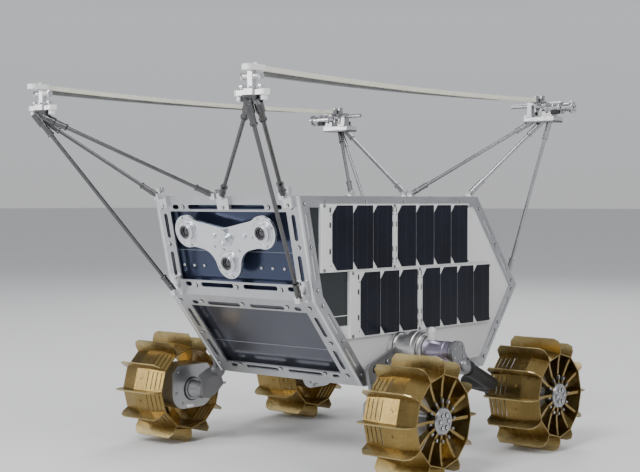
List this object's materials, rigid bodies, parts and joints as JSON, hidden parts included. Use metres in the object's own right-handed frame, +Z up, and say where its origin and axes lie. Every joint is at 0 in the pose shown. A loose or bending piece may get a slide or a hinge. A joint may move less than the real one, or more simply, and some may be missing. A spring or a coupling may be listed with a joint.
{
  "type": "planetary rover",
  "caption": "Planetary rover: faceted box body with side solar cells, front camera bracket, sheet wheels with lugs on swing arms, and long booms on strut tripods.",
  "frame": {"origin": "on the ground under the middle of the whole rover", "axes": "+X forwards, +Y to the rover's left, +Z up"},
  "size_m": [0.6478, 0.513, 0.4913],
  "materials": {
    "frame_metal": "satin, milled and slotted",
    "radiator": "dark mirror film",
    "white_sheet": "matt white",
    "deck_sheet": "matt white",
    "solar_cell": "glossy dark cell",
    "camera_metal": "satin",
    "camera_black": "matt black",
    "strut_metal": "satin",
    "head_metal": "satin",
    "boom_skin": "matt pale",
    "drive_metal": "brushed",
    "pivot_metal": "brushed",
    "arm_metal": "dark grey",
    "motor_metal": "satin grey",
    "wheel_gold": "gold anodised",
    "hub_grey": "satin grey",
    "dense_block": "plain"
  },
  "bodies": {
    "rover": {"front_upper_frame": "frame_metal", "front_upper_panel": "radiator", "front_lower_frame": "frame_metal", "front_lower_panel": "radiator", "rear_lower_frame": "frame_metal", "rear_lower_panel": "radiator", "rear_upper_frame": "frame_metal", "rear_upper_panel": "radiator", "top_deck": "deck_sheet", "bottom_deck": "deck_sheet", "avionics_block": "dense_block", "side_panels": "white_sheet", "side_frames": "frame_metal", "solar_trays": "white_sheet", "solar_cells": "solar_cell", "camera_bracket": "camera_metal", "camera_heads": "camera_black", "front_strut_feet": "head_metal", "front_struts_left": "strut_metal", "front_struts_right": "strut_metal", "rear_strut_feet": "head_metal", "rear_struts_left": "strut_metal", "rear_struts_right": "strut_metal", "front_heads": "head_metal", "rear_heads": "head_metal", "boom_drive_left": "drive_metal", "boom_drive_right": "drive_metal", "suspension_pivot_left": "pivot_metal", "suspension_pivot_right": "pivot_metal", "front_arm_left": "arm_metal", "front_arm_right": "arm_metal", "rear_arm_left": "arm_metal", "rear_arm_right": "arm_metal", "front_wheel_motors": "motor_metal", "rear_wheel_motors": "motor_metal"},
    "left_boom": {"boom_left": "boom_skin", "boom_clamp_left": "drive_metal"},
    "right_boom": {"boom_right": "boom_skin", "boom_clamp_right": "drive_metal"},
    "front_left_wheel": {"front_wheel_tread_left": "wheel_gold", "front_wheel_disc_left": "wheel_gold"},
    "front_right_wheel": {"front_wheel_tread_right": "wheel_gold", "front_wheel_disc_right": "wheel_gold"},
    "rear_left_wheel": {"rear_wheel_tread_left": "wheel_gold", "rear_wheel_disc_left": "wheel_gold"},
    "rear_right_wheel": {"rear_wheel_tread_right": "wheel_gold", "rear_wheel_disc_right": "wheel_gold"}
  },
  "joints": [
    {"name": "front_left_wheel_spin", "type": "hinge", "parent": "rover", "child": "front_left_wheel", "pos_m": [0.05242, 0.217, 0.077], "axis": [0, 1, 0], "continuous": true},
    {"name": "front_right_wheel_spin", "type": "hinge", "parent": "rover", "child": "front_right_wheel", "pos_m": [0.05242, -0.217, 0.077], "axis": [0, 1, 0], "continuous": true},
    {"name": "rear_left_wheel_spin", "type": "hinge", "parent": "rover", "child": "rear_left_wheel", "pos_m": [-0.22257, 0.217, 0.077], "axis": [0, 1, 0], "continuous": true},
    {"name": "rear_right_wheel_spin", "type": "hinge", "parent": "rover", "child": "rear_right_wheel", "pos_m": [-0.22257, -0.217, 0.077], "axis": [0, 1, 0], "continuous": true},
    {"name": "left_boom_raise", "type": "hinge", "parent": "rover", "child": "left_boom", "pos_m": [-0.28408, 0.1855, 0.477], "axis": [0, -1, 0], "range_deg": [0, 90]},
    {"name": "right_boom_raise", "type": "hinge", "parent": "rover", "child": "right_boom", "pos_m": [-0.28408, -0.1855, 0.477], "axis": [0, -1, 0], "range_deg": [0, 90]}
  ]
}
